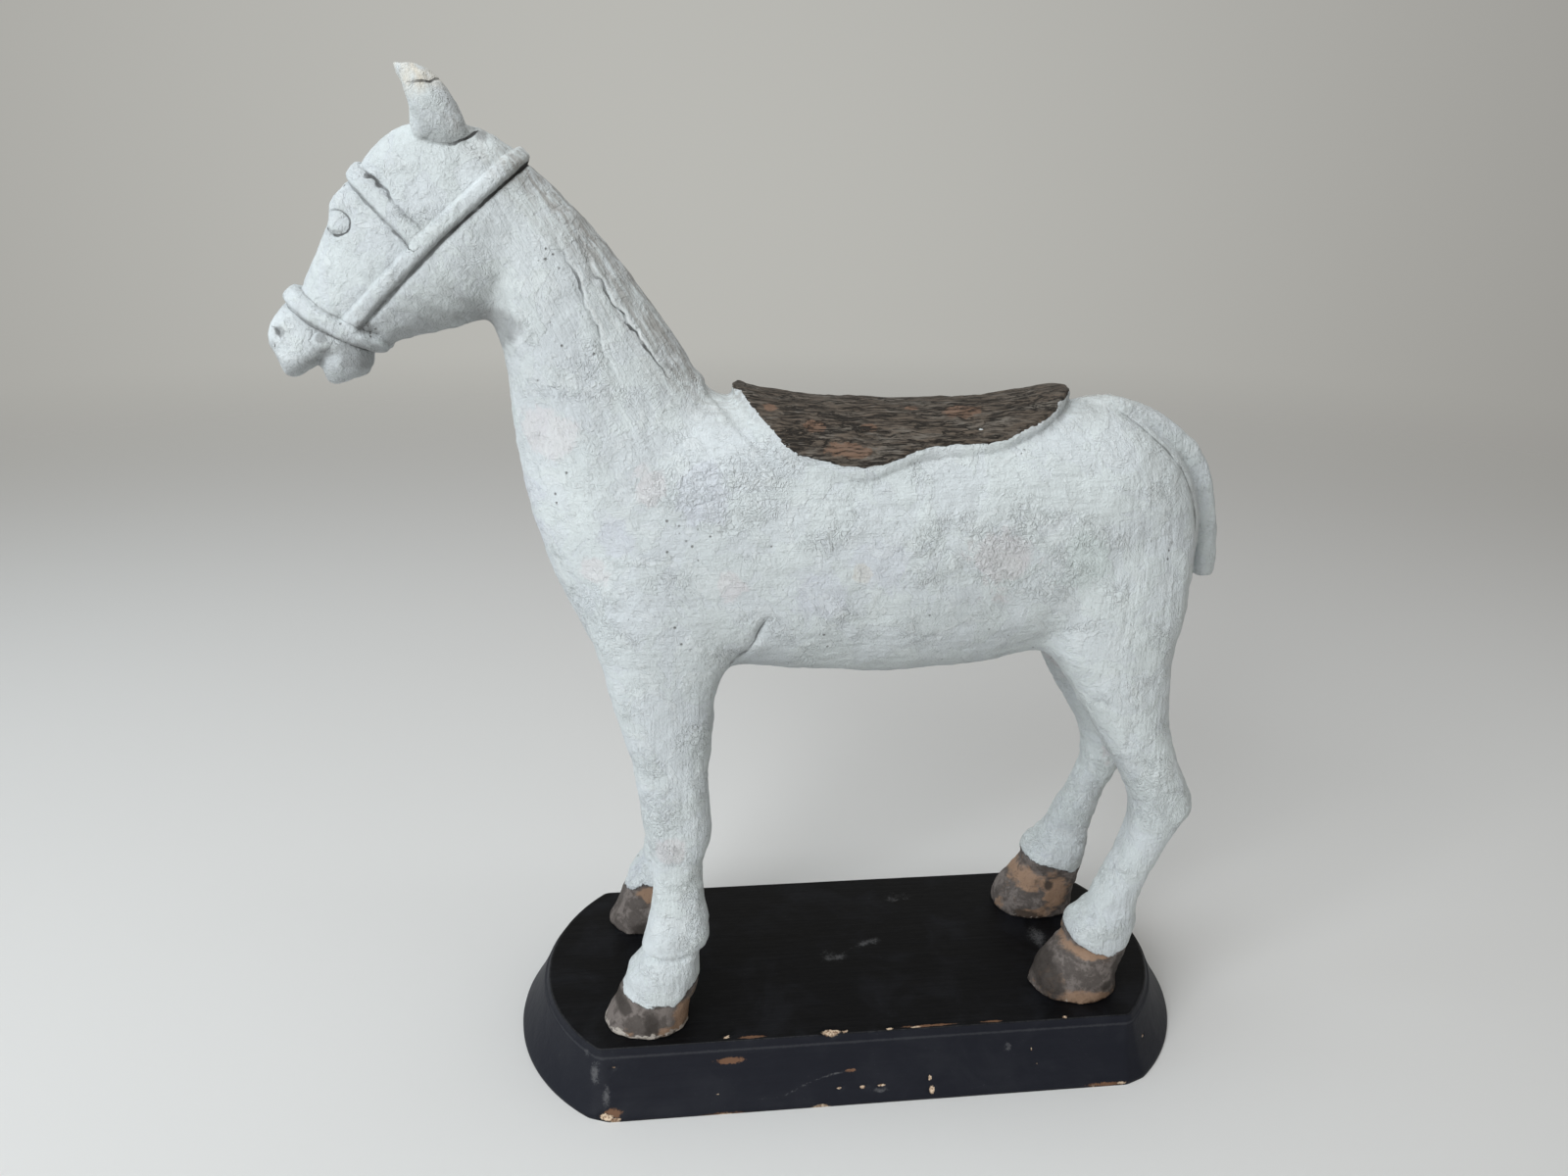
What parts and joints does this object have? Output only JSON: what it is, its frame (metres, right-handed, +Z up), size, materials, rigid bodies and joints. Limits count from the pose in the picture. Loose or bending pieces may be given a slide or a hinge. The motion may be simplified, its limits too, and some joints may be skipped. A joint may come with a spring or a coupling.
{
  "type": "horse figurine",
  "caption": "Carved wooden horse figure with a saddle and bridle, painted white and standing square on a flared black wooden plinth with bowed ends.",
  "frame": {"origin": "centre of the plinth's flat underside", "axes": "+Z up, -X the way the horse faces, -Y the horse's left side"},
  "size_m": [0.3925, 0.148, 0.42],
  "materials": {
    "white_painted_wood": "chalky white paint, worn, with a bare brown saddle and bare brown hooves",
    "black_painted_wood": "dull black paint, chipped at the edges"
  },
  "bodies": {
    "root": {"horse": "white_painted_wood", "plinth": "black_painted_wood"}
  },
  "joints": []
}
